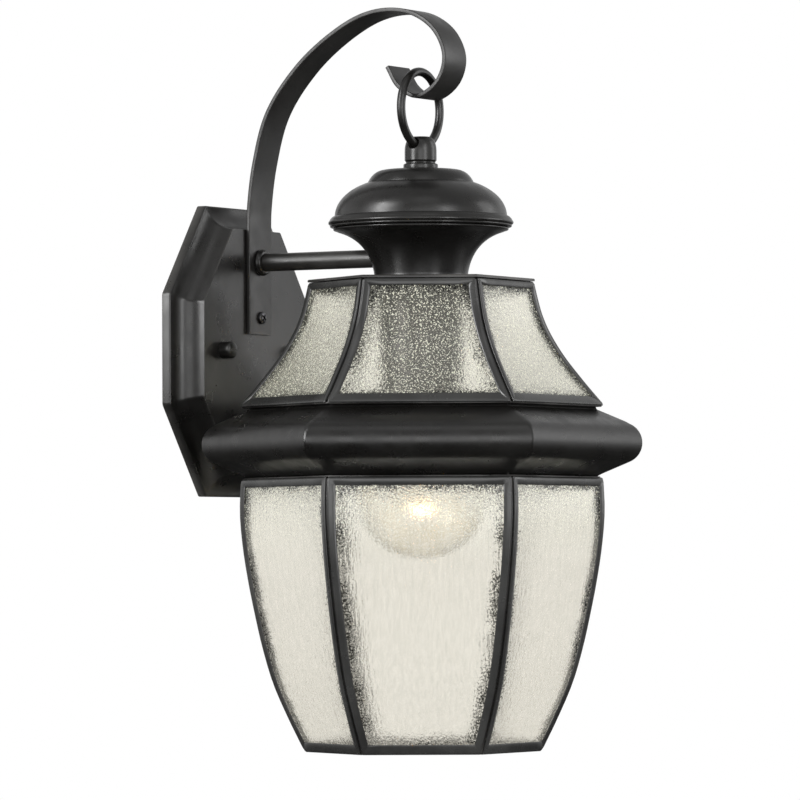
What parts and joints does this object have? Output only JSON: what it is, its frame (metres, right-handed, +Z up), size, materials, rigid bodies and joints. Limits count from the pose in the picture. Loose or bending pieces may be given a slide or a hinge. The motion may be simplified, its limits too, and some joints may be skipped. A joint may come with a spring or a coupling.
{
  "type": "outdoor wall lantern",
  "caption": "Hexagonal seedy-glass wall lantern with a rounded collar, hung by a ring from a scroll strap on an octagonal wall plate, with a lamp inside.",
  "frame": {"origin": "middle of the mounting bracket's back face, in the plane of the wall", "axes": "+Y into the wall, -Y out towards the room or path, +Z up, +X to the right of someone who faces the lantern"},
  "size_m": [0.2038, 0.1942, 0.3431],
  "materials": {
    "dark_metal": "satin black with a faint brown cast",
    "seedy_glass": "clear seedy glass with fine bubbles",
    "zinc_steel": "zinc plated",
    "dark_screw": "blackened steel",
    "green_steel": "green ground screw",
    "phenolic": "moulded, matt",
    "brass": "bright",
    "lamp_base_metal": "rolled thread, bright",
    "lamp_glass": "clear lamp envelope, lit",
    "stem_glass": "clear glass stem",
    "filament": "glowing tungsten wire",
    "black_insulation": "smooth insulation",
    "white_insulation": "smooth insulation"
  },
  "bodies": {
    "lantern": {"upper_frame_front": "dark_metal", "upper_glass_front": "seedy_glass", "lower_frame_front": "dark_metal", "lower_glass_front": "seedy_glass", "upper_frame_front_right": "dark_metal", "upper_glass_front_right": "seedy_glass", "lower_frame_front_right": "dark_metal", "lower_glass_front_right": "seedy_glass", "upper_frame_back_right": "dark_metal", "upper_glass_back_right": "seedy_glass", "lower_frame_back_right": "dark_metal", "lower_glass_back_right": "seedy_glass", "upper_frame_back": "dark_metal", "upper_glass_back": "seedy_glass", "lower_frame_back": "dark_metal", "lower_glass_back": "seedy_glass", "upper_frame_back_left": "dark_metal", "upper_glass_back_left": "seedy_glass", "lower_frame_back_left": "dark_metal", "lower_glass_back_left": "seedy_glass", "upper_frame_front_left": "dark_metal", "upper_glass_front_left": "seedy_glass", "lower_frame_front_left": "dark_metal", "lower_glass_front_left": "seedy_glass", "collar": "dark_metal", "top_plate": "dark_metal", "neck": "dark_metal", "cap": "dark_metal", "finial": "dark_metal", "scroll_strap": "dark_metal", "arm_tube": "dark_metal", "arm_ring": "dark_metal", "wall_plate": "dark_metal", "socket_cup": "dark_metal", "stem_pipe": "zinc_steel", "stem_lock_nut": "zinc_steel", "socket_bracket": "zinc_steel", "arm_plate_nut": "zinc_steel", "arm_neck_nut": "zinc_steel", "strap_screw_nut": "zinc_steel", "mounting_bracket": "zinc_steel", "mounting_stud_left": "zinc_steel", "mounting_stud_right": "zinc_steel", "stud_lock_nut_left": "zinc_steel", "stud_lock_nut_right": "zinc_steel", "strap_screw": "dark_screw", "ground_screw": "green_steel", "socket_body": "phenolic", "socket_shell": "brass", "socket_contact": "brass", "lead_black": "black_insulation", "lead_white": "white_insulation"},
    "ring": {"hanging_ring": "dark_metal"},
    "lamp": {"lamp_base": "lamp_base_metal", "lamp_glass": "lamp_glass", "lamp_stem": "stem_glass", "lamp_filament": "filament"},
    "left_cap_nut": {"cap_nut_left": "dark_metal"},
    "right_cap_nut": {"cap_nut_right": "dark_metal"}
  },
  "joints": [
    {"name": "ring_swing", "type": "hinge", "parent": "lantern", "child": "ring", "pos_m": [0, -0.106, 0.09295], "axis": [1, 0, 0], "range_deg": [-8, 15]},
    {"name": "lamp_draw", "type": "slide", "parent": "lantern", "child": "lamp", "axis": [0, 0, -1], "range_m": [0, 0.2]},
    {"name": "left_cap_nut_turn", "type": "hinge", "parent": "lantern", "child": "left_cap_nut", "pos_m": [-0.03, -0.0198, 0], "axis": [0, -1, 0], "continuous": true},
    {"name": "right_cap_nut_turn", "type": "hinge", "parent": "lantern", "child": "right_cap_nut", "pos_m": [0.03, -0.0198, 0], "axis": [0, -1, 0], "continuous": true}
  ]
}
